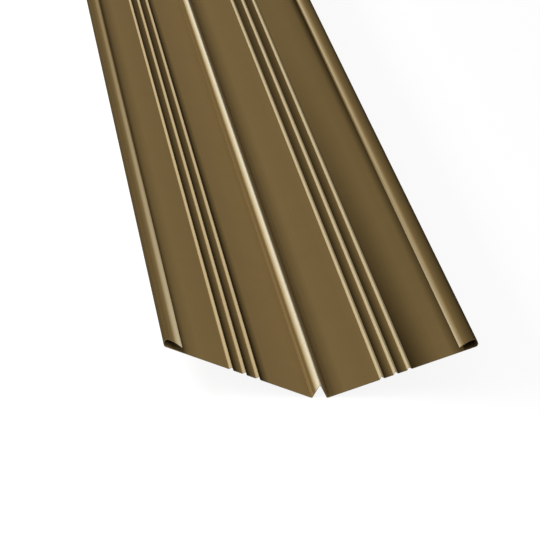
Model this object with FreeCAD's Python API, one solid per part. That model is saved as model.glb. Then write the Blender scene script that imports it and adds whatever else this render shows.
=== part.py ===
import FreeCAD, Part

import math
import os

# W-valley flashing: one strip of painted steel sheet, roll-formed along its whole length.
# The section is a wide V with an upturned V ridge on its centre line. Each wing carries a
# group of small stiffening ribs and ends in an open hem, folded up and back over the wing.
# The frame has X across the valley, Y along it and Z up. The origin is at mid-length, on
# the centre line, at the level of the floor that the two valley bends rest on.
# Millimetres. Flats are measured between the sharp corners of the sheet's middle line.

LENGTH = 3048.0
SHEET = 0.6

WING_SLOPE_DEG = 20.0
WING_WIDTH = 238.2
VALLEY_RADIUS = 1.5

RIDGE_BASE = 22.5
RIDGE_HEIGHT = 21.0
RIDGE_NOSE_RADIUS = 1.5

RIB_COUNT = 3
RIB_PITCH = 21.5
RIB_FROM_VALLEY = 86.5
RIB_BASE = 7.4
RIB_HEIGHT = 4.2
RIB_NOSE_RADIUS = 1.0
RIB_FOOT_RADIUS = 1.5

HEM_DEPTH = 28.0
HEM_OUTSIDE_HEIGHT = 12.8
HEM_MOUTH = 6.5
HEM_BEND_RADIUS = 4.6
HEM_CROWN = 1.5
HEM_CROWN_RADIUS = 42.0

HALF_SHEET = SHEET / 2
SLOPE = math.radians(WING_SLOPE_DEG)
ALONG_WING = FreeCAD.Vector(math.cos(SLOPE), 0, math.sin(SLOPE))
OFF_WING = FreeCAD.Vector(-math.sin(SLOPE), 0, math.cos(SLOPE))
LENGTHWISE = FreeCAD.Vector(0, 1, 0)


class Corner:
    """A sharp corner of the middle line, with the radius inside its bend (0 at a cut edge)."""

    def __init__(self, point, inside_radius):
        self.point = point
        self.inside_radius = inside_radius


def on_wing(distance, height):
    """A point of the right wing: its distance out from the valley corner and its height off the wing."""
    valley = FreeCAD.Vector(RIDGE_BASE / 2, 0, 0)
    return valley + ALONG_WING * distance + OFF_WING * height


def rib_corners(distance):
    """One small inverted V pressed up out of the wing."""
    return [
        Corner(on_wing(distance - RIB_BASE / 2, 0), RIB_FOOT_RADIUS),
        Corner(on_wing(distance, RIB_HEIGHT), RIB_NOSE_RADIUS),
        Corner(on_wing(distance + RIB_BASE / 2, 0), RIB_FOOT_RADIUS),
    ]


def hem_corners():
    """The open hem: up round the wing's outer edge, then back over the wing as a crowned flange."""
    outer_foot = on_wing(WING_WIDTH, 0)
    outer_head = on_wing(WING_WIDTH, HEM_OUTSIDE_HEIGHT - SHEET)
    lip = on_wing(WING_WIDTH - HEM_DEPTH, HEM_MOUTH + SHEET)
    flange = outer_head - lip
    off_flange = FreeCAD.Vector(-flange.z, 0, flange.x).normalize()
    crown = (outer_head + lip) * 0.5 + off_flange * HEM_CROWN
    return [
        Corner(outer_foot, HEM_BEND_RADIUS),
        Corner(outer_head, HEM_BEND_RADIUS),
        Corner(crown, HEM_CROWN_RADIUS),
        Corner(lip, 0),
    ]


def right_half_corners():
    """The middle line's corners from the valley bend out to the hem's lip."""
    corners = [Corner(on_wing(0, 0), VALLEY_RADIUS)]
    for number in range(RIB_COUNT):
        corners += rib_corners(RIB_FROM_VALLEY + number * RIB_PITCH)
    return corners + hem_corners()


def mirrored(corner):
    """The same corner on the left wing."""
    point = FreeCAD.Vector(-corner.point.x, 0, corner.point.z)
    return Corner(point, corner.inside_radius)


def middle_line():
    """All the corners, from the left hem's lip over the ridge to the right hem's lip."""
    right = right_half_corners()
    left = [mirrored(corner) for corner in reversed(right)]
    ridge = Corner(FreeCAD.Vector(0, 0, RIDGE_HEIGHT), RIDGE_NOSE_RADIUS)
    return left + [ridge] + right


def upward(direction):
    """The normal on the upper side of the strip, which is walked from left to right."""
    return FreeCAD.Vector(-direction.z, 0, direction.x)


class Bend:
    """The arc that rounds one corner: its centre, its two tangent normals and its middle radius."""

    def __init__(self, before, corner, after):
        coming = (corner.point - before.point).normalize()
        going = (after.point - corner.point).normalize()
        self.turn = math.atan2(coming.x * going.z - coming.z * going.x, coming.dot(going))
        self.radius = corner.inside_radius + HALF_SHEET
        self.tangent_length = self.radius * math.tan(abs(self.turn) / 2)
        self.side = math.copysign(1, self.turn)
        start = corner.point - coming * self.tangent_length
        self.centre = start + upward(coming) * self.side * self.radius
        self.normals = [upward(coming), upward(coming + going).normalize(), upward(going)]

    def points(self, offset):
        """Start, middle and end of the arc on the face that lies this far above the middle line."""
        reach = offset - self.side * self.radius
        return [self.centre + normal * reach for normal in self.normals]


def bends_of(corners):
    """The bend at every corner but the two cut edges."""
    triples = zip(corners, corners[1:], corners[2:])
    return [Bend(before, corner, after) for before, corner, after in triples]


def face_edges(corners, bends, offset):
    """The flats and arcs of one face of the strip, from the left lip to the right lip."""
    first = (corners[1].point - corners[0].point).normalize()
    last = (corners[-1].point - corners[-2].point).normalize()
    pen = corners[0].point + upward(first) * offset
    edges = []
    for bend in bends:
        start, middle, end = bend.points(offset)
        edges.append(Part.LineSegment(pen, start).toShape())
        edges.append(Part.Arc(start, middle, end).toShape())
        pen = end
    end_of_strip = corners[-1].point + upward(last) * offset
    edges.append(Part.LineSegment(pen, end_of_strip).toShape())
    return edges


def end_point(edges, which):
    """The first or last point of a run of edges."""
    return edges[which].Vertexes[which].Point


def strip_section(corners, bends):
    """The closed outline of the sheet, filled, in the plane Y = 0."""
    upper = face_edges(corners, bends, HALF_SHEET)
    lower = face_edges(corners, bends, -HALF_SHEET)
    left_cut = Part.LineSegment(end_point(lower, 0), end_point(upper, 0)).toShape()
    right_cut = Part.LineSegment(end_point(upper, -1), end_point(lower, -1)).toShape()
    outline = Part.Wire([left_cut] + upper + [right_cut] + lower[::-1])
    return Part.Face(outline)


def floor_level(bends):
    """The lowest level of the strip: the underside of the valley bend beside the ridge."""
    ridge_place = len(bends) // 2
    valley_bend = bends[ridge_place + 1]
    return valley_bend.centre.z - valley_bend.radius - HALF_SHEET


def developed_width(corners, bends):
    """The width of the flat strip that the section is rolled from."""
    sharp = sum((b.point - a.point).Length for a, b in zip(corners, corners[1:]))
    saved = sum(2 * bend.tangent_length - bend.radius * abs(bend.turn) for bend in bends)
    return sharp - saved


def valley_sheet():
    """The whole flashing, lying on its valley bends and centred along its length."""
    corners = middle_line()
    bends = bends_of(corners)
    section = strip_section(corners, bends)
    section.translate(FreeCAD.Vector(0, -LENGTH / 2, -floor_level(bends)))
    print(f"strip width before forming {developed_width(corners, bends):.1f} mm")
    return section.extrude(LENGTHWISE * LENGTH)


def main():
    os.makedirs("parts", exist_ok=True)
    sheet = valley_sheet()
    box = sheet.BoundBox
    print(f"valid {sheet.isValid()}, volume {sheet.Volume:.0f} mm3")
    print(f"size {box.XLength:.1f} x {box.YLength:.1f} x {box.ZLength:.1f} mm, floor at {box.ZMin:.4f}")
    sheet.exportStep("parts/valley_sheet.step")


main()
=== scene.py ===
import math

import bpy
from mathutils import Matrix, Vector


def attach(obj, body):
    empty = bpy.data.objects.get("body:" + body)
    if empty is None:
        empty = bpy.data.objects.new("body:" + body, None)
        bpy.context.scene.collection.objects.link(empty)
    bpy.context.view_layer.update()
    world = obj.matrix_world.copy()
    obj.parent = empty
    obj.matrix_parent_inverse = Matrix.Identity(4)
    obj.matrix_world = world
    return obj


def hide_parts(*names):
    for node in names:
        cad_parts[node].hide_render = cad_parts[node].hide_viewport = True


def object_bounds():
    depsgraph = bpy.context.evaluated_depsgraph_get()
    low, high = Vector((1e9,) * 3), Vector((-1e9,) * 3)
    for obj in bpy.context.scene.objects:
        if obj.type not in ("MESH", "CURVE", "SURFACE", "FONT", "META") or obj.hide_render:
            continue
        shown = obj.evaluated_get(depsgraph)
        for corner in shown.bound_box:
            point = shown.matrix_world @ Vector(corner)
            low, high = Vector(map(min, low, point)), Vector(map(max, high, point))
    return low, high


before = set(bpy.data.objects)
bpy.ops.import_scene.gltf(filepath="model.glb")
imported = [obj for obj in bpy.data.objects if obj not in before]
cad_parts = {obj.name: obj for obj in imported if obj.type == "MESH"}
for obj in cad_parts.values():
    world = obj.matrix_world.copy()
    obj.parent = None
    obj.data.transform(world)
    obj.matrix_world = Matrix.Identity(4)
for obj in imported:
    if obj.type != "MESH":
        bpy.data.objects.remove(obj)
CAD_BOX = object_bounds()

# A roof valley flashing: one strip of coil-coated steel, roll-formed along its whole length.
# X runs across the valley, Y along it and Z up, in metres. The sheet's sizes are written in millimetres.

MM = 0.001

# The section, with each bend's inside radius
SHEET = 0.6
WING_SLOPE_DEG = 20.0
WING_WIDTH = 238.2
VALLEY_RADIUS = 1.5
RIDGE_BASE = 22.5
RIDGE_HEIGHT = 21.0
RIDGE_NOSE_RADIUS = 1.5
RIB_COUNT = 3
RIB_PITCH = 21.5
RIB_FROM_VALLEY = 86.5
RIB_BASE = 7.4
RIB_HEIGHT = 4.2
RIB_NOSE_RADIUS = 1.0
RIB_FOOT_RADIUS = 1.5
HEM_DEPTH = 28.0
HEM_OUTSIDE_HEIGHT = 12.8
HEM_MOUTH = 6.5
HEM_BEND_RADIUS = 4.6
HEM_CROWN = 1.5
HEM_CROWN_RADIUS = 42.0

# The mesh: its steps round a bend and along the sheet, the widest facet that counts as part of a bend, the
# angle from which an edge is sharp, and the distance within which two points are one
BEND_STEPS = 12
LENGTH_STEPS = 32
WIDEST_BEND_FACET = 1.0
SHARP_EDGE_DEG = 40.0
MERGE_DISTANCE = 0.001

# The paint's tones at places across the sheet paint light and shade into its colour. They run from dark
# painted shade, through the paint's plain brown, to pale painted highlights. Places not named are plain.
# Inner places are on the ridge's side of the ribs, outer ones on the hem's. The crests of the ridge and of
# the ribs and the hems' lips carry painted highlights, and the right valley is painted paler against its
# shade. Painted shade lies on the right of the ridge, of the ribs and of the left lip, as if lit from the
# left, and round both hems' outer bends. Inside, the left hem is painted pale against its shade, and the
# right one has painted shade. Further on, painted shade fills the gaps between the ribs and lies thicker
# beside the lips and on their edges. On the right wing's outer flat it moves over, from beside the ribs at
# the near end to beside the hem further on.
# The tone scale: -1 is the darkest painted shade, 0 the paint's plain brown, 1 the palest painted highlight
SHADE_TONE = -1.0
PLAIN_TONE = 0.0
HIGHLIGHT_TONE = 1.0
LEFT_UPPER = {
    "valley": 0.06,
    "ridge_foot": 0.11,
    "ridge_lee_middle": 0.1,
    "ridge_lee_end": 0.08,
    "inner_lee_end": 0.03,
    "inner_lee_start": -0.93,
    "rib_inner_foot": SHADE_TONE,
    "rib_inner_flank": -0.8,
    "rib_crest": 0.5,
    "rib_outer_flank": 0.45,
    "hem_shade": -0.24,
    "lip_line": -0.38,
    "hem_foot": 0.55,
    "hem_head": 0.55,
    "hem_crown": 0.35,
}
LEFT_FAR_UPPER = {
    **LEFT_UPPER,
    "valley": -0.03,
    "rib_inner_foot": -0.85,
    "rib_outer_foot": -0.45,
    "hem_shade": -0.4,
    "lip_line": -0.6,
}
LEFT_OUTSIDE = {
    "hem_foot": -0.6,
    "hem_head": -0.7,
    "hem_crown": 0.1,
    "lip_rub_end": 0.7,
    "lip_rub": 0.9,
    "lip": 0.78,
}
LEFT_FAR_OUTSIDE = {
    **LEFT_OUTSIDE,
    "lip_rub_end": 0.36,
    "lip_rub": 0.25,
    "lip": -0.85,
}
RIGHT_UPPER = {
    "valley": 0.28,
    "ridge_foot": 0.1,
    "ridge_lee_middle": -0.43,
    "ridge_lee_end": -0.03,
    "inner_lee_end": -0.05,
    "rib_inner_flank": 0.75,
    "rib_crest": 0.8,
    "rib_outer_flank": 0.8,
    "rib_outer_foot": SHADE_TONE,
    "outer_lee_start": -0.9,
    "outer_lee_middle": -0.2,
    "hem_shade": 0.03,
    "lip_line": -0.4,
    "hem_foot": -0.4,
    "hem_head": -0.4,
    "hem_crown": -0.4,
}
RIGHT_FAR_UPPER = {
    **RIGHT_UPPER,
    "rib_inner_foot": -0.45,
    "rib_outer_foot": -0.85,
    "outer_lee_start": -0.1,
    "outer_lee_middle": PLAIN_TONE,
    "hem_shade": -0.12,
    "lip_line": -0.9,
}
RIGHT_OUTSIDE = {
    "hem_foot": -0.8,
    "hem_head": -0.8,
    "hem_crown": -0.2,
    "lip_rub": 0.3,
    "lip": 0.92,
}
RIGHT_FAR_OUTSIDE = {
    **RIGHT_OUTSIDE,
    "hem_head": -0.7,
    "hem_crown": PLAIN_TONE,
    "lip_rub_end": 0.27,
    "lip_rub": 0.74,
    "lip": -0.8,
}

# A wing's tones at the near end, then further on: those of its upper face, then those of its lower face,
# which is outside in the hem
LEFT_WING = ((LEFT_UPPER, LEFT_OUTSIDE), (LEFT_FAR_UPPER, LEFT_FAR_OUTSIDE))
RIGHT_WING = ((RIGHT_UPPER, RIGHT_OUTSIDE), (RIGHT_FAR_UPPER, RIGHT_FAR_OUTSIDE))

# The share of the length, from the near end, over which the painted shade and highlights change
FAR_SHARE_OF_LENGTH = 0.67

# The tones of the ridge's flanks, by the share of the way up to its nose, which has the palest painted
# highlight. The right flank, which is in shade, is painted pale near the nose. A painted highlight along the
# left foot fades further on.
LEFT_FLANK_TONES = {0.08: 0.02, 0.16: 0.15, 0.25: -0.09, 0.38: -0.09, 0.62: 0.64, 0.73: 0.9, 0.82: HIGHLIGHT_TONE}
LEFT_FAR_FLANK_TONES = {**LEFT_FLANK_TONES, 0.16: -0.09}
RIGHT_FLANK_TONES = {0.45: 0.3, 0.68: HIGHLIGHT_TONE, 0.84: HIGHLIGHT_TONE}

# How far the painted shade and highlights reach: in millimetres along the flats, and as shares of the way up
# a rib's flank and from the hem's lip to its crown
RIDGE_FOOT_REACH = 2.5
RIDGE_SHADE_MIDDLE = 10.0
RIDGE_SHADE_END = 30.0
SHADE_START = 1.0
INNER_SHADE_END = 14.0
OUTER_SHADE_MIDDLE = 33.0
OUTER_SHADE_END = 45.0
HEM_SHADE_REACH = 13.0
RIB_HIGHLIGHT_SHARE = 0.3
LIP_HIGHLIGHT_SHARE = 0.33
LIP_HIGHLIGHT_END_SHARE = 0.65

# The places of a Mix node's sockets, which share their names
MIX_SHARE = 0
VECTOR_MIX_FROM = 4
VECTOR_MIX_TO = 5
VECTOR_MIXED = 1
COLOUR_MIX_FROM = 6
COLOUR_MIX_TO = 7
COLOUR_MIXED = 2


def linear(hex_colour):
    """A written sRGB colour as the linear colour that a shader takes."""
    channels = [int(hex_colour[place:place + 2], 16) / 255 for place in (1, 3, 5)]
    return tuple(c / 12.92 if c <= 0.04045 else ((c + 0.055) / 1.055) ** 2.4 for c in channels) + (1.0,)


def add(tree, kind, settings=None, inputs=None):
    """Adds a node with its settings, and gives each named input a value, a link or a list of links."""
    node = tree.nodes.new(kind)
    for name, value in (settings or {}).items():
        setattr(node, name, value)
    for name, value in (inputs or {}).items():
        for source in value if isinstance(value, list) else [value]:
            if isinstance(source, bpy.types.NodeSocket):
                tree.links.new(source, node.inputs[name])
            else:
                node.inputs[name].default_value = source
    return node


# The formed sheet: a tree of geometry nodes

# The bend of a corner that only marks where a tone begins or ends
NO_BEND = 0.0


def sheet_sizes():
    """The tree's inputs: lengths in metres, angles in radians, and shares.

    Bends and heights are those of the sheet's middle line.
    """
    half_sheet = SHEET / 2
    return {
        "Length": (CAD_BOX[1] - CAD_BOX[0]).y,
        "Sheet": SHEET * MM,
        "Wing Slope": math.radians(WING_SLOPE_DEG),
        "Wing Width": WING_WIDTH * MM,
        "Valley Bend": (VALLEY_RADIUS + half_sheet) * MM,
        "Ridge Base": RIDGE_BASE * MM,
        "Ridge Height": RIDGE_HEIGHT * MM,
        "Ridge Nose Bend": (RIDGE_NOSE_RADIUS + half_sheet) * MM,
        "Rib Pitch": RIB_PITCH * MM,
        "First Rib": RIB_FROM_VALLEY * MM,
        "Rib Base": RIB_BASE * MM,
        "Rib Height": RIB_HEIGHT * MM,
        "Rib Nose Bend": (RIB_NOSE_RADIUS + half_sheet) * MM,
        "Rib Foot Bend": (RIB_FOOT_RADIUS + half_sheet) * MM,
        "Hem Depth": HEM_DEPTH * MM,
        "Hem Head Height": (HEM_OUTSIDE_HEIGHT - SHEET) * MM,
        "Hem Lip Height": (HEM_MOUTH + SHEET) * MM,
        "Hem Bend": (HEM_BEND_RADIUS + half_sheet) * MM,
        "Hem Crown": HEM_CROWN * MM,
        "Hem Crown Bend": (HEM_CROWN_RADIUS + half_sheet) * MM,
        "Ridge Foot Reach": RIDGE_FOOT_REACH * MM,
        "Ridge Shade Middle": RIDGE_SHADE_MIDDLE * MM,
        "Ridge Shade End": RIDGE_SHADE_END * MM,
        "Shade Start": SHADE_START * MM,
        "Inner Shade End": INNER_SHADE_END * MM,
        "Outer Shade Middle": OUTER_SHADE_MIDDLE * MM,
        "Outer Shade End": OUTER_SHADE_END * MM,
        "Hem Shade Reach": HEM_SHADE_REACH * MM,
        "Rib Highlight Share": RIB_HIGHLIGHT_SHARE,
        "Lip Highlight Share": LIP_HIGHLIGHT_SHARE,
        "Lip Highlight End Share": LIP_HIGHLIGHT_END_SHARE,
        "Far Share Of Length": FAR_SHARE_OF_LENGTH,
        "Widest Bend Facet": WIDEST_BEND_FACET * MM,
        "Sharp Edge": math.radians(SHARP_EDGE_DEG),
        "Merge Distance": MERGE_DISTANCE * MM,
    }


def sheet_counts():
    """The tree's inputs that are whole numbers."""
    return {"Rib Count": RIB_COUNT, "Bend Steps": BEND_STEPS, "Length Steps": LENGTH_STEPS}


def tones_at(wing, place):
    """A place's tones at the near end, then further on: a vector of the upper and the lower face's."""
    return [(upper.get(place, PLAIN_TONE), lower.get(place, PLAIN_TONE), 0.0) for upper, lower in wing]


def ridge_tones(near, far):
    """The tones of a place on the ridge at the near end, then further on. It is plain brown underneath."""
    return [(near, PLAIN_TONE, 0.0), (far, PLAIN_TONE, 0.0)]


def corner(tree, position, tones, bend=NO_BEND, station=0.0):
    """A corner of the sheet's middle line: its place, the paint's tones there, its bend and its station.

    The stations put the corners in order along the line. A wing adds each corner's distance to its station.
    """
    points = add(tree, "GeometryNodePoints", inputs={"Count": 1, "Position": position}).outputs["Points"]
    near, far = tones
    attributes = (
        ("near_tones", "FLOAT_VECTOR", near),
        ("far_tones", "FLOAT_VECTOR", far),
        ("bend", "FLOAT", bend),
        ("station", "FLOAT", station),
    )
    for name, kind, value in attributes:
        points = add(tree, "GeometryNodeStoreNamedAttribute", {"data_type": kind, "domain": "POINT"},
                     {"Geometry": points, "Name": name, "Value": value}).outputs["Geometry"]
    return points


def rib_points(tree, size, wing):
    """The small inverted V of one rib, repeated along the wing at the ribs' pitch."""
    crest = add(tree, "ShaderNodeCombineXYZ", inputs={"Z": size["Rib Height"]}).outputs[0]
    points = [corner(tree, crest, tones_at(wing, "rib_crest"), size["Rib Nose Bend"])]
    for name, half in (("rib_inner", -0.5), ("rib_outer", 0.5)):
        outward = add(tree, "ShaderNodeMath", {"operation": "MULTIPLY"},
                      {0: size["Rib Base"], 1: half}).outputs[0]
        foot = add(tree, "ShaderNodeCombineXYZ", inputs={"X": outward}).outputs[0]
        # A place part way up each flank, where the flank's painted highlight or painted shade begins
        flank = add(tree, "ShaderNodeMix", {"data_type": "VECTOR"},
                    {MIX_SHARE: size["Rib Highlight Share"], VECTOR_MIX_FROM: foot, VECTOR_MIX_TO: crest})
        points.append(corner(tree, foot, tones_at(wing, f"{name}_foot"), size["Rib Foot Bend"]))
        points.append(corner(tree, flank.outputs[VECTOR_MIXED], tones_at(wing, f"{name}_flank")))
    rib = add(tree, "GeometryNodeJoinGeometry", inputs={"Geometry": points}).outputs["Geometry"]
    first = add(tree, "ShaderNodeCombineXYZ", inputs={"X": size["First Rib"]}).outputs[0]
    step = add(tree, "ShaderNodeCombineXYZ", inputs={"X": size["Rib Pitch"]}).outputs[0]
    places = add(tree, "GeometryNodeMeshLine", {"mode": "OFFSET"},
                 {"Count": size["Rib Count"], "Start Location": first, "Offset": step}).outputs["Mesh"]
    ribs = add(tree, "GeometryNodeInstanceOnPoints",
               inputs={"Points": places, "Instance": rib}).outputs["Instances"]
    return add(tree, "GeometryNodeRealizeInstances", inputs={"Geometry": ribs}).outputs["Geometry"]


def lip_distance(tree, size):
    """How far along the wing the hem's lip comes back over it."""
    return add(tree, "ShaderNodeMath", {"operation": "SUBTRACT"},
               {0: size["Wing Width"], 1: size["Hem Depth"]}).outputs[0]


def flat_points(tree, size, wing):
    """The places along the wing's flats where a painted shade or highlight begins or ends, in line with the
    flat.
    """
    first_foot = add(tree, "ShaderNodeMath", {"operation": "MULTIPLY_ADD"},
                     {0: size["Rib Base"], 1: -0.5, 2: size["First Rib"]}).outputs[0]
    steps = add(tree, "ShaderNodeMath", {"operation": "SUBTRACT"},
                {0: size["Rib Count"], 1: 1.0}).outputs[0]
    last_rib = add(tree, "ShaderNodeMath", {"operation": "MULTIPLY_ADD"},
                   {0: steps, 1: size["Rib Pitch"], 2: size["First Rib"]}).outputs[0]
    last_foot = add(tree, "ShaderNodeMath", {"operation": "MULTIPLY_ADD"},
                    {0: size["Rib Base"], 1: 0.5, 2: last_rib}).outputs[0]
    valley = 0.0
    lip_line = lip_distance(tree, size)
    reaches = (
        ("ridge_foot", valley, "ADD", size["Ridge Foot Reach"]),
        ("ridge_lee_middle", valley, "ADD", size["Ridge Shade Middle"]),
        ("ridge_lee_end", valley, "ADD", size["Ridge Shade End"]),
        ("inner_lee_end", first_foot, "SUBTRACT", size["Inner Shade End"]),
        ("inner_lee_start", first_foot, "SUBTRACT", size["Shade Start"]),
        ("outer_lee_start", last_foot, "ADD", size["Shade Start"]),
        ("outer_lee_middle", last_foot, "ADD", size["Outer Shade Middle"]),
        ("outer_lee_end", last_foot, "ADD", size["Outer Shade End"]),
        ("hem_shade", lip_line, "SUBTRACT", size["Hem Shade Reach"]),
        ("lip_line", lip_line, "ADD", 0.0),
    )
    points = []
    for place, origin, direction, reach in reaches:
        distance = add(tree, "ShaderNodeMath", {"operation": direction}, {0: origin, 1: reach}).outputs[0]
        position = add(tree, "ShaderNodeCombineXYZ", inputs={"X": distance}).outputs[0]
        points.append(corner(tree, position, tones_at(wing, place)))
    return points


def hem_points(tree, size, wing):
    """The open hem: up round the wing's outer edge, then back over the wing as a crowned flange."""
    foot = add(tree, "ShaderNodeCombineXYZ", inputs={"X": size["Wing Width"]}).outputs[0]
    head = add(tree, "ShaderNodeCombineXYZ",
               inputs={"X": size["Wing Width"], "Z": size["Hem Head Height"]}).outputs[0]
    lip = add(tree, "ShaderNodeCombineXYZ",
              inputs={"X": lip_distance(tree, size), "Z": size["Hem Lip Height"]}).outputs[0]
    flange = add(tree, "ShaderNodeVectorMath", {"operation": "SUBTRACT"}, {0: head, 1: lip}).outputs[0]
    off_flange = add(tree, "ShaderNodeVectorMath", {"operation": "CROSS_PRODUCT"},
                     {0: flange, 1: (0.0, 1.0, 0.0)}).outputs[0]
    straight_up = add(tree, "ShaderNodeVectorMath", {"operation": "NORMALIZE"}, {0: off_flange}).outputs[0]
    rise = add(tree, "ShaderNodeVectorMath", {"operation": "SCALE"},
               {0: straight_up, "Scale": size["Hem Crown"]}).outputs[0]
    middle = add(tree, "ShaderNodeVectorMath", {"operation": "MULTIPLY_ADD"},
                 {0: flange, 1: (0.5, 0.5, 0.5), 2: lip}).outputs[0]
    crown = add(tree, "ShaderNodeVectorMath", {"operation": "ADD"}, {0: middle, 1: rise}).outputs[0]
    # Places between the lip and the crown, over which the lip's painted highlight fades
    highlight_end_place, highlight_place = [
        add(tree, "ShaderNodeMix", {"data_type": "VECTOR"},
            {MIX_SHARE: size[share], VECTOR_MIX_FROM: lip, VECTOR_MIX_TO: crown}).outputs[VECTOR_MIXED]
        for share in ("Lip Highlight End Share", "Lip Highlight Share")
    ]
    corners = (
        ("hem_foot", foot, size["Hem Bend"]),
        ("hem_head", head, size["Hem Bend"]),
        ("hem_crown", crown, size["Hem Crown Bend"]),
        ("lip_rub_end", highlight_end_place, NO_BEND),
        ("lip_rub", highlight_place, NO_BEND),
        ("lip", lip, NO_BEND),
    )
    # The stations are a metre apart, more than the flange is wide, so its corners stay in order
    return [corner(tree, position, tones_at(wing, place), bend, station)
            for station, (place, position, bend) in enumerate(corners)]


def wing_points(tree, size, wing):
    """One wing's corners from the valley to the hem's lip, as on the right, at the wing's slope."""
    valley = corner(tree, (0.0, 0.0, 0.0), tones_at(wing, "valley"), size["Valley Bend"])
    points = [
        valley,
        rib_points(tree, size, wing),
        *flat_points(tree, size, wing),
        *hem_points(tree, size, wing),
    ]
    flat = add(tree, "GeometryNodeJoinGeometry", inputs={"Geometry": points}).outputs["Geometry"]
    position = add(tree, "GeometryNodeInputPosition").outputs["Position"]
    distance = add(tree, "ShaderNodeSeparateXYZ", inputs={"Vector": position}).outputs["X"]
    past_ridge = add(tree, "ShaderNodeMath", {"operation": "ADD"},
                     {0: distance, 1: size["Ridge Base"]}).outputs[0]
    own_station = add(tree, "GeometryNodeInputNamedAttribute", {"data_type": "FLOAT"},
                      {"Name": "station"}).outputs["Attribute"]
    station = add(tree, "ShaderNodeMath", {"operation": "ADD"}, {0: past_ridge, 1: own_station}).outputs[0]
    ordered = add(tree, "GeometryNodeStoreNamedAttribute", {"data_type": "FLOAT", "domain": "POINT"},
                  {"Geometry": flat, "Name": "station", "Value": station}).outputs["Geometry"]
    half_ridge = add(tree, "ShaderNodeMath", {"operation": "MULTIPLY"},
                     {0: size["Ridge Base"], 1: 0.5}).outputs[0]
    beside_ridge = add(tree, "ShaderNodeCombineXYZ", inputs={"X": half_ridge}).outputs[0]
    tilt = add(tree, "ShaderNodeMath", {"operation": "MULTIPLY"},
               {0: size["Wing Slope"], 1: -1.0}).outputs[0]
    slope = add(tree, "ShaderNodeCombineXYZ", inputs={"Y": tilt}).outputs[0]
    return add(tree, "GeometryNodeTransform", inputs={
        "Geometry": ordered, "Translation": beside_ridge, "Rotation": slope}).outputs["Geometry"]


def ridge_points(tree, size):
    """The ridge's nose, and the places on its flanks where a tone begins or ends."""
    nose = add(tree, "ShaderNodeCombineXYZ", inputs={"Z": size["Ridge Height"]}).outputs[0]
    points = [corner(tree, nose, ridge_tones(HIGHLIGHT_TONE, HIGHLIGHT_TONE), size["Ridge Nose Bend"])]
    flanks = (
        (-0.5, LEFT_FLANK_TONES, LEFT_FAR_FLANK_TONES),
        (0.5, RIGHT_FLANK_TONES, RIGHT_FLANK_TONES),
    )
    for half, near, far in flanks:
        outward = add(tree, "ShaderNodeMath", {"operation": "MULTIPLY"},
                      {0: size["Ridge Base"], 1: half}).outputs[0]
        valley = add(tree, "ShaderNodeCombineXYZ", inputs={"X": outward}).outputs[0]
        for share in near:
            place = add(tree, "ShaderNodeMix", {"data_type": "VECTOR"}, {
                MIX_SHARE: share, VECTOR_MIX_FROM: valley, VECTOR_MIX_TO: nose}).outputs[VECTOR_MIXED]
            station = add(tree, "ShaderNodeSeparateXYZ", inputs={"Vector": place}).outputs["X"]
            points.append(corner(tree, place, ridge_tones(near[share], far[share]), station=station))
    return add(tree, "GeometryNodeJoinGeometry", inputs={"Geometry": points}).outputs["Geometry"]


def section_line(tree, size):
    """The middle line of the whole section, from lip to lip, with sharp corners."""
    right = wing_points(tree, size, RIGHT_WING)
    mirrored = add(tree, "GeometryNodeTransform", inputs={
        "Geometry": wing_points(tree, size, LEFT_WING), "Scale": (-1.0, 1.0, 1.0)}).outputs["Geometry"]
    station = add(tree, "GeometryNodeInputNamedAttribute", {"data_type": "FLOAT"},
                  {"Name": "station"}).outputs["Attribute"]
    backwards = add(tree, "ShaderNodeMath", {"operation": "MULTIPLY"}, {0: station, 1: -1.0}).outputs[0]
    left = add(tree, "GeometryNodeStoreNamedAttribute", {"data_type": "FLOAT", "domain": "POINT"},
               {"Geometry": mirrored, "Name": "station", "Value": backwards}).outputs["Geometry"]
    corners = add(tree, "GeometryNodeJoinGeometry",
                  inputs={"Geometry": [left, ridge_points(tree, size), right]}).outputs["Geometry"]
    return add(tree, "GeometryNodePointsToCurves",
               inputs={"Points": corners, "Weight": station}).outputs["Curves"]


def rolled_surface(tree, size, section):
    """A section carried along the sheet's length."""
    near_end, far_end = [
        add(tree, "ShaderNodeVectorMath", {"operation": "SCALE"},
            {0: (0.0, half, 0.0), "Scale": size["Length"]}).outputs[0]
        for half in (-0.5, 0.5)
    ]
    axis = add(tree, "GeometryNodeCurvePrimitiveLine",
               inputs={"Start": near_end, "End": far_end}).outputs["Curve"]
    stations = add(tree, "ShaderNodeMath", {"operation": "ADD"},
                   {0: size["Length Steps"], 1: 1.0}).outputs[0]
    stepped = add(tree, "GeometryNodeResampleCurve",
                  inputs={"Curve": axis, "Count": stations}).outputs["Curve"]
    upright = add(tree, "GeometryNodeSetCurveNormal", {"mode": "Z_UP"}, {"Curve": stepped}).outputs["Curve"]
    profile = add(tree, "GeometryNodeTransform",
                  inputs={"Geometry": section, "Rotation": (math.pi / 2, 0.0, 0.0)}).outputs["Geometry"]
    return add(tree, "GeometryNodeCurveToMesh",
               inputs={"Curve": upright, "Profile Curve": profile}).outputs["Mesh"]


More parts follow.
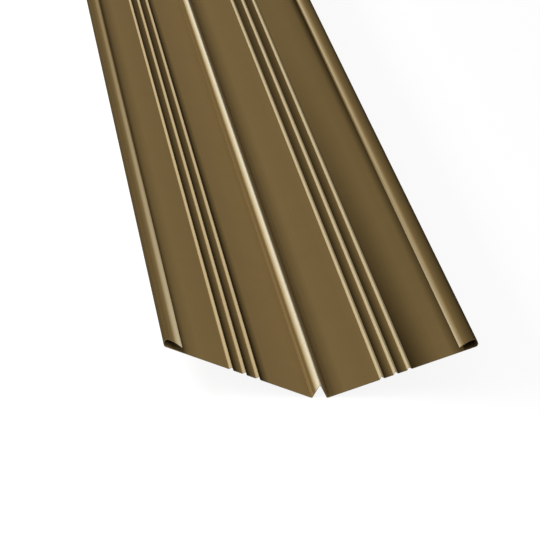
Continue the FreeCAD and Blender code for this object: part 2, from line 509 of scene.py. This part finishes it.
def tones_along(tree, size):
    """The tones of the two faces, which go over from the near end's to those further on."""
    position = add(tree, "GeometryNodeInputPosition").outputs["Position"]
    along = add(tree, "ShaderNodeSeparateXYZ", inputs={"Vector": position}).outputs["Y"]
    near_end = add(tree, "ShaderNodeMath", {"operation": "MULTIPLY"},
                   {0: size["Length"], 1: -0.5}).outputs[0]
    far_start = add(tree, "ShaderNodeMath", {"operation": "MULTIPLY_ADD"},
                    {0: size["Length"], 1: size["Far Share Of Length"], 2: near_end}).outputs[0]
    share = add(tree, "ShaderNodeMapRange",
                inputs={"Value": along, "From Min": near_end, "From Max": far_start}).outputs["Result"]
    near, far = [
        add(tree, "GeometryNodeInputNamedAttribute", {"data_type": "FLOAT_VECTOR"},
            {"Name": name}).outputs["Attribute"]
        for name in ("near_tones", "far_tones")
    ]
    return add(tree, "ShaderNodeMix", {"data_type": "VECTOR"},
               {MIX_SHARE: share, VECTOR_MIX_FROM: near, VECTOR_MIX_TO: far}).outputs[VECTOR_MIXED]


def middle_surface(tree, size):
    """The sheet's middle surface with its bends, and the tones that the sharp surface has beside it."""
    line = section_line(tree, size)
    bend = add(tree, "GeometryNodeInputNamedAttribute", {"data_type": "FLOAT"},
               {"Name": "bend"}).outputs["Attribute"]
    rounded = add(tree, "GeometryNodeFilletCurve", {"mode": "POLY"},
                  {"Curve": line, "Radius": bend, "Count": size["Bend Steps"]}).outputs["Curve"]
    sharp_surface = rolled_surface(tree, size, line)
    surface = rolled_surface(tree, size, rounded)
    beside = add(tree, "GeometryNodeSampleNearestSurface", {"data_type": "FLOAT_VECTOR"},
                 {"Mesh": sharp_surface, "Value": tones_along(tree, size)}).outputs["Value"]
    return add(tree, "GeometryNodeStoreNamedAttribute", {"data_type": "FLOAT_VECTOR", "domain": "POINT"},
               {"Geometry": surface, "Name": "tones", "Value": beside}).outputs["Geometry"]


def thick_sheet(tree, size, surface):
    """The middle surface made the sheet's thickness, as one closed skin, with its sheared faces marked."""
    half_down = add(tree, "ShaderNodeMath", {"operation": "MULTIPLY"},
                    {0: size["Sheet"], 1: -0.5}).outputs[0]
    normal = add(tree, "GeometryNodeInputNormal").outputs["Normal"]
    drop = add(tree, "ShaderNodeVectorMath", {"operation": "SCALE"},
               {0: normal, "Scale": half_down}).outputs[0]
    lower = add(tree, "GeometryNodeSetPosition",
                inputs={"Geometry": surface, "Offset": drop}).outputs["Geometry"]
    raised = add(tree, "GeometryNodeExtrudeMesh", {"mode": "FACES"},
                 {"Mesh": lower, "Offset Scale": size["Sheet"], "Individual": False}).outputs
    tones = add(tree, "GeometryNodeInputNamedAttribute", {"data_type": "FLOAT_VECTOR"},
                {"Name": "tones"}).outputs["Attribute"]
    split = add(tree, "ShaderNodeSeparateXYZ", inputs={"Vector": tones}).outputs
    upper_or_lower = add(tree, "GeometryNodeSwitch", {"input_type": "FLOAT"}, {
        "Switch": raised["Top"], "False": split["Y"], "True": split["X"]}).outputs["Output"]
    toned_upper = add(tree, "GeometryNodeStoreNamedAttribute", {"data_type": "FLOAT", "domain": "POINT"},
                      {"Geometry": raised["Mesh"], "Name": "tone", "Value": upper_or_lower})
    upper = add(tree, "GeometryNodeStoreNamedAttribute", {"data_type": "BOOLEAN", "domain": "FACE"}, {
        "Geometry": toned_upper.outputs["Geometry"], "Name": "sheared", "Value": raised["Side"]})
    toned_lower = add(tree, "GeometryNodeStoreNamedAttribute", {"data_type": "FLOAT", "domain": "POINT"},
                      {"Geometry": lower, "Name": "tone", "Value": split["Y"]})
    under = add(tree, "GeometryNodeFlipFaces", inputs={"Mesh": toned_lower.outputs["Geometry"]})
    skins = add(tree, "GeometryNodeJoinGeometry",
                inputs={"Geometry": [upper.outputs["Geometry"], under.outputs["Mesh"]]}).outputs["Geometry"]
    return add(tree, "GeometryNodeMergeByDistance",
               inputs={"Geometry": skins, "Distance": size["Merge Distance"]}).outputs["Geometry"]


def on_floor(tree, geometry):
    """The geometry let down until its lowest point is on the floor."""
    lowest = add(tree, "GeometryNodeBoundBox", inputs={"Geometry": geometry}).outputs["Min"]
    level = add(tree, "ShaderNodeVectorMath", {"operation": "MULTIPLY"},
                {0: lowest, 1: (0.0, 0.0, -1.0)}).outputs[0]
    return add(tree, "GeometryNodeTransform",
               inputs={"Geometry": geometry, "Translation": level}).outputs["Geometry"]


def shaded(tree, size, geometry):
    """Bends shaded smooth, flats shaded flat, and a hard line along every sheared edge."""
    step = add(tree, "ShaderNodeMath", {"operation": "DIVIDE"},
               {0: size["Length"], 1: size["Length Steps"]}).outputs[0]
    widest = add(tree, "ShaderNodeMath", {"operation": "MULTIPLY"},
                 {0: step, 1: size["Widest Bend Facet"]}).outputs[0]
    area = add(tree, "GeometryNodeInputMeshFaceArea").outputs["Area"]
    is_bend = add(tree, "FunctionNodeCompare", {"data_type": "FLOAT", "operation": "LESS_THAN"},
                  {"A": area, "B": widest}).outputs["Result"]
    rounded = add(tree, "GeometryNodeSetShadeSmooth", {"domain": "FACE"},
                  {"Geometry": geometry, "Shade Smooth": is_bend}).outputs["Geometry"]
    angle = add(tree, "GeometryNodeInputMeshEdgeAngle").outputs["Unsigned Angle"]
    is_soft = add(tree, "FunctionNodeCompare", {"data_type": "FLOAT", "operation": "LESS_THAN"},
                  {"A": angle, "B": size["Sharp Edge"]}).outputs["Result"]
    return add(tree, "GeometryNodeSetShadeSmooth", {"domain": "EDGE"},
               {"Geometry": rounded, "Shade Smooth": is_soft}).outputs["Geometry"]


def sheet_tree():
    """The whole tree, with its sizes and its two finishes as named inputs."""
    tree = bpy.data.node_groups.new("rolled_valley_sheet", "GeometryNodeTree")
    tree.interface.new_socket(name="Sheet", in_out="OUTPUT", socket_type="NodeSocketGeometry")
    for name in sheet_sizes():
        tree.interface.new_socket(name=name, in_out="INPUT", socket_type="NodeSocketFloat")
    for name in sheet_counts():
        tree.interface.new_socket(name=name, in_out="INPUT", socket_type="NodeSocketInt")
    for name in ("Paint", "Sheared Steel"):
        tree.interface.new_socket(name=name, in_out="INPUT", socket_type="NodeSocketMaterial")
    size = add(tree, "NodeGroupInput").outputs
    solid = on_floor(tree, thick_sheet(tree, size, middle_surface(tree, size)))
    real = add(tree, "GeometryNodeRealizeInstances",
               inputs={"Geometry": shaded(tree, size, solid)}).outputs["Geometry"]
    painted = add(tree, "GeometryNodeSetMaterial",
                  inputs={"Geometry": real, "Material": size["Paint"]}).outputs["Geometry"]
    sheared = add(tree, "GeometryNodeInputNamedAttribute", {"data_type": "BOOLEAN"},
                  {"Name": "sheared"}).outputs["Attribute"]
    finished = add(tree, "GeometryNodeSetMaterial", inputs={
        "Geometry": painted, "Selection": sheared, "Material": size["Sheared Steel"]}).outputs["Geometry"]
    add(tree, "NodeGroupOutput", inputs={"Sheet": finished})
    return tree


def formed_sheet(paint, steel):
    """The sheet as a plain mesh, made by the tree."""
    piece = bpy.data.objects.new("formed_sheet", bpy.data.meshes.new("formed_sheet"))
    bpy.context.scene.collection.objects.link(piece)
    tree = sheet_tree()
    values = {**sheet_sizes(), **sheet_counts(), "Paint": paint, "Sheared Steel": steel}
    forming = piece.modifiers.new("forming", "NODES")
    forming.node_group = tree
    for socket in tree.interface.items_tree:
        if socket.in_out == "INPUT":
            forming[socket.identifier] = values[socket.name]
    depsgraph = bpy.context.evaluated_depsgraph_get()
    mesh = bpy.data.meshes.new_from_object(piece.evaluated_get(depsgraph), depsgraph=depsgraph)
    piece.modifiers.remove(forming)
    piece.data = mesh
    return piece


# The coil coating

# The paint's plain brown, a dark colour for painted shade, and paler ones for painted highlights
COAT_PAINTED_SHADE = "#1E1503"
COAT_BROWN = "#735F3B"
COAT_SOFT_HIGHLIGHT = "#856E46"
COAT_PALE_HIGHLIGHT = "#CBBA94"
COAT_PAINTED_HIGHLIGHT = "#DCD1B6"

# The places of the coat's colours on its ramp, which runs from the darkest painted shade to the palest
# painted highlight
COAT_RAMP = {0.0: COAT_PAINTED_SHADE, 0.5: COAT_BROWN, 0.55: COAT_SOFT_HIGHLIGHT, 0.9: COAT_PALE_HIGHLIGHT, 1.0: COAT_PAINTED_HIGHLIGHT}

# Sizes of the patterns in the paint, in millimetres
STREAK_WIDTH = 4.0
STREAK_LENGTH = 900.0
CLOUD_SIZE = 70.0
PEEL_SIZE = 5.0
PEEL_HEIGHT = 0.03

# How many finer layers each pattern has, what the patterns do to the paint's brightness and roughness, and
# how much the paint mirrors
STREAK_DETAIL = 2.0
CLOUD_DETAIL = 3.0
PEEL_DETAIL = 1.0
STREAK_LIGHT = {"To Min": 0.96, "To Max": 1.04}
CLOUD_LIGHT = {"To Min": 0.95, "To Max": 1.05}
PAINT_ROUGHNESS = {"To Min": 0.48, "To Max": 0.62}
PAINT_SPECULAR = 0.001


def coil_coating():
    """Polyester coil coating, baked on zinc-coated steel before it is rolled."""
    # An even, matt brown. The coater's rolls leave faint streaks along the strip. The crests and the hems'
    # lips are painted paler as painted highlights, and what lies beside them darker as painted shade.
    paint = bpy.data.materials.new("coil_coated_steel")
    paint.use_nodes = True
    tree = paint.node_tree
    shader = tree.nodes["Principled BSDF"]

    # The tone attribute paints shade and highlights into the base colour
    tone = add(tree, "ShaderNodeAttribute", {"attribute_name": "tone"}).outputs["Fac"]
    share = add(tree, "ShaderNodeMapRange",
                inputs={"Value": tone, "From Min": SHADE_TONE, "From Max": HIGHLIGHT_TONE}).outputs["Result"]
    ramp = add(tree, "ShaderNodeValToRGB", inputs={"Fac": share})
    stops = ramp.color_ramp.elements
    stops.remove(stops[0])
    for number, (position, shade) in enumerate(COAT_RAMP.items()):
        stop = stops.new(position) if number else stops[0]
        stop.position = position
        stop.color = linear(shade)

    place = add(tree, "ShaderNodeTexCoord").outputs["Object"]
    across = 1 / (STREAK_WIDTH * MM)
    along = 1 / (STREAK_LENGTH * MM)
    drawn_out = add(tree, "ShaderNodeVectorMath", {"operation": "MULTIPLY"},
                    {0: place, 1: (across, along, across)}).outputs[0]
    streaks = add(tree, "ShaderNodeTexNoise",
                  inputs={"Vector": drawn_out, "Scale": 1.0, "Detail": STREAK_DETAIL}).outputs["Fac"]
    clouds = add(tree, "ShaderNodeTexNoise", inputs={
        "Vector": place, "Scale": 1 / (CLOUD_SIZE * MM), "Detail": CLOUD_DETAIL}).outputs["Fac"]
    streak_light = add(tree, "ShaderNodeMapRange",
                       inputs={"Value": streaks, **STREAK_LIGHT}).outputs["Result"]
    cloud_light = add(tree, "ShaderNodeMapRange",
                      inputs={"Value": clouds, **CLOUD_LIGHT}).outputs["Result"]
    brightness = add(tree, "ShaderNodeMath", {"operation": "MULTIPLY"},
                     {0: streak_light, 1: cloud_light}).outputs[0]
    uneven = add(tree, "ShaderNodeHueSaturation",
                 inputs={"Value": brightness, "Color": ramp.outputs["Color"]}).outputs["Color"]

    # A baked coat has orange peel about 1 mm wide, finer than a pixel here, so it is drawn coarser
    peel = add(tree, "ShaderNodeTexNoise", inputs={
        "Vector": place, "Scale": 1 / (PEEL_SIZE * MM), "Detail": PEEL_DETAIL}).outputs["Fac"]
    relief = add(tree, "ShaderNodeBump",
                 inputs={"Height": peel, "Distance": PEEL_HEIGHT * MM}).outputs["Normal"]
    roughness = add(tree, "ShaderNodeMapRange",
                    inputs={"Value": clouds, **PAINT_ROUGHNESS}).outputs["Result"]

    tree.links.new(uneven, shader.inputs["Base Color"])
    tree.links.new(roughness, shader.inputs["Roughness"])
    tree.links.new(relief, shader.inputs["Normal"])
    shader.inputs["Specular IOR Level"].default_value = PAINT_SPECULAR
    return paint


# The sheared steel: the size of the marks along the cut edges in millimetres, and what the marks look like

SHEAR_MARK = 12.0
SHEAR_DETAIL = 2.0
SHEAR_DULL = "#554A36"
SHEAR_BRIGHT = "#766A52"
SHEAR_ROUGHNESS = {"To Min": 0.65, "To Max": 0.45}
SHEAR_SPECULAR = 0.2


def sheared_steel():
    """The cut through the coated steel, where the blade has drawn some of the paint down over the metal."""
    # A thin dull line, with brown paint and grey metal by turns along it.
    steel = bpy.data.materials.new("sheared_steel")
    steel.use_nodes = True
    tree = steel.node_tree
    shader = tree.nodes["Principled BSDF"]
    place = add(tree, "ShaderNodeTexCoord").outputs["Object"]
    marks = add(tree, "ShaderNodeTexNoise", inputs={
        "Vector": place, "Scale": 1 / (SHEAR_MARK * MM), "Detail": SHEAR_DETAIL}).outputs["Fac"]
    colour = add(tree, "ShaderNodeMix", {"data_type": "RGBA"}, {
        MIX_SHARE: marks,
        COLOUR_MIX_FROM: linear(SHEAR_DULL),
        COLOUR_MIX_TO: linear(SHEAR_BRIGHT),
    }).outputs[COLOUR_MIXED]
    roughness = add(tree, "ShaderNodeMapRange",
                    inputs={"Value": marks, **SHEAR_ROUGHNESS}).outputs["Result"]
    tree.links.new(colour, shader.inputs["Base Color"])
    tree.links.new(roughness, shader.inputs["Roughness"])
    shader.inputs["Specular IOR Level"].default_value = SHEAR_SPECULAR
    return steel


# The studio, in metres

# The background is as white as the picture can show. The floor adds a glow to a share of the light that
# falls on it.
WHITE = "#FFFFFF"
WHITE_STRENGTH = 1.0
AMBIENT_STRENGTH = 0.35
FLOOR_WHITE = "#F2F2F2"
FLOOR_SIZE = 120.0
FLOOR_GLOW = 0.9
FLOOR_LIT_SHARE = 0.2

# A long softbox on the left, which runs along the sheet
KEY_STRIP_PLACE = (-0.42, 0.0, 0.42)
KEY_STRIP_AIM = (0.0, 0.0, 0.0)
KEY_STRIP_WIDTH = 0.2
KEY_STRIP_LENGTH = 9.0
KEY_STRIP_POWER = 28.0

# The camera's place, the way it looks, its lens in millimetres and how far it sees
CAMERA_PLACE = (-0.623, -6.543, 1.734)
CAMERA_TURN_DEG = 6.172
CAMERA_DOWN_DEG = 16.92
CAMERA_ROLL_DEG = 1.88
CAMERA_LENS = 240.0
CAMERA_SIGHT = 200.0


def seen_ray(tree):
    """1 for the rays that show the background: from the camera, a gloss or a clear thing."""
    path = add(tree, "ShaderNodeLightPath").outputs
    first = add(tree, "ShaderNodeMath", {"operation": "MAXIMUM"},
                {0: path["Is Camera Ray"], 1: path["Is Glossy Ray"]}).outputs[0]
    return add(tree, "ShaderNodeMath", {"operation": "MAXIMUM"},
               {0: first, 1: path["Is Transmission Ray"]}).outputs[0]


def floor_finish():
    """A floor that looks white and keeps a soft shadow."""
    finish = bpy.data.materials.new("white_floor")
    finish.use_nodes = True
    tree = finish.node_tree
    tree.nodes.clear()
    matte = add(tree, "ShaderNodeBsdfDiffuse", inputs={"Color": linear(FLOOR_WHITE)}).outputs[0]
    lit = add(tree, "ShaderNodeMixShader", inputs={0: FLOOR_LIT_SHARE, 2: matte}).outputs[0]
    glow = add(tree, "ShaderNodeEmission",
               inputs={"Color": linear(WHITE), "Strength": FLOOR_GLOW}).outputs[0]
    white = add(tree, "ShaderNodeAddShader", inputs={0: glow, 1: lit}).outputs[0]
    shown = add(tree, "ShaderNodeMixShader", inputs={0: seen_ray(tree), 1: matte, 2: white}).outputs[0]
    add(tree, "ShaderNodeOutputMaterial", inputs={"Surface": shown})
    return finish


def white_floor():
    """The floor that the sheet lies on."""
    half = FLOOR_SIZE / 2
    corners = [(-half, -half, 0), (half, -half, 0), (half, half, 0), (-half, half, 0)]
    mesh = bpy.data.meshes.new("floor")
    mesh.from_pydata(corners, [], [(0, 1, 2, 3)])
    mesh.materials.append(floor_finish())
    floor = bpy.data.objects.new("floor", mesh)
    bpy.context.scene.collection.objects.link(floor)


def white_world():
    """A white background, and an even light from all round."""
    world = bpy.data.worlds.new("studio")
    world.use_nodes = True
    tree = world.node_tree
    tree.nodes.clear()
    light, white = [
        add(tree, "ShaderNodeBackground", inputs={"Color": linear(WHITE), "Strength": strength}).outputs[0]
        for strength in (AMBIENT_STRENGTH, WHITE_STRENGTH)
    ]
    mixed = add(tree, "ShaderNodeMixShader", inputs={0: seen_ray(tree), 1: light, 2: white}).outputs[0]
    add(tree, "ShaderNodeOutputWorld", inputs={"Surface": mixed})
    bpy.context.scene.world = world


def key_strip():
    """The softbox, which the camera doesn't see."""
    lamp = bpy.data.lights.new("key_strip", "AREA")
    lamp.shape = "RECTANGLE"
    lamp.size = KEY_STRIP_WIDTH
    lamp.size_y = KEY_STRIP_LENGTH
    lamp.energy = KEY_STRIP_POWER
    light = bpy.data.objects.new("key_strip", lamp)
    place = Vector(KEY_STRIP_PLACE)
    down = (Vector(KEY_STRIP_AIM) - place).normalized()
    along = Vector((0, 1, 0))
    across = along.cross(-down)
    light.matrix_world = Matrix.Translation(place) @ Matrix((across, along, -down)).transposed().to_4x4()
    light.visible_camera = False
    bpy.context.scene.collection.objects.link(light)


def camera():
    """The camera, turned to the right, then down from level, then rolled about its own axis."""
    lens = bpy.data.cameras.new("camera")
    lens.lens = CAMERA_LENS
    lens.clip_end = CAMERA_SIGHT
    eye = bpy.data.objects.new("camera", lens)
    turn = Matrix.Rotation(math.radians(-CAMERA_TURN_DEG), 4, "Z")
    down = Matrix.Rotation(math.radians(90 - CAMERA_DOWN_DEG), 4, "X")
    roll = Matrix.Rotation(math.radians(CAMERA_ROLL_DEG), 4, "Z")
    eye.matrix_world = Matrix.Translation(CAMERA_PLACE) @ turn @ down @ roll
    bpy.context.scene.collection.objects.link(eye)
    bpy.context.scene.camera = eye


sheet = formed_sheet(coil_coating(), sheared_steel())
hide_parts("valley_sheet")
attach(sheet, "root")

white_floor()
white_world()
key_strip()
camera()

bpy.context.scene.view_settings.view_transform = "Standard"
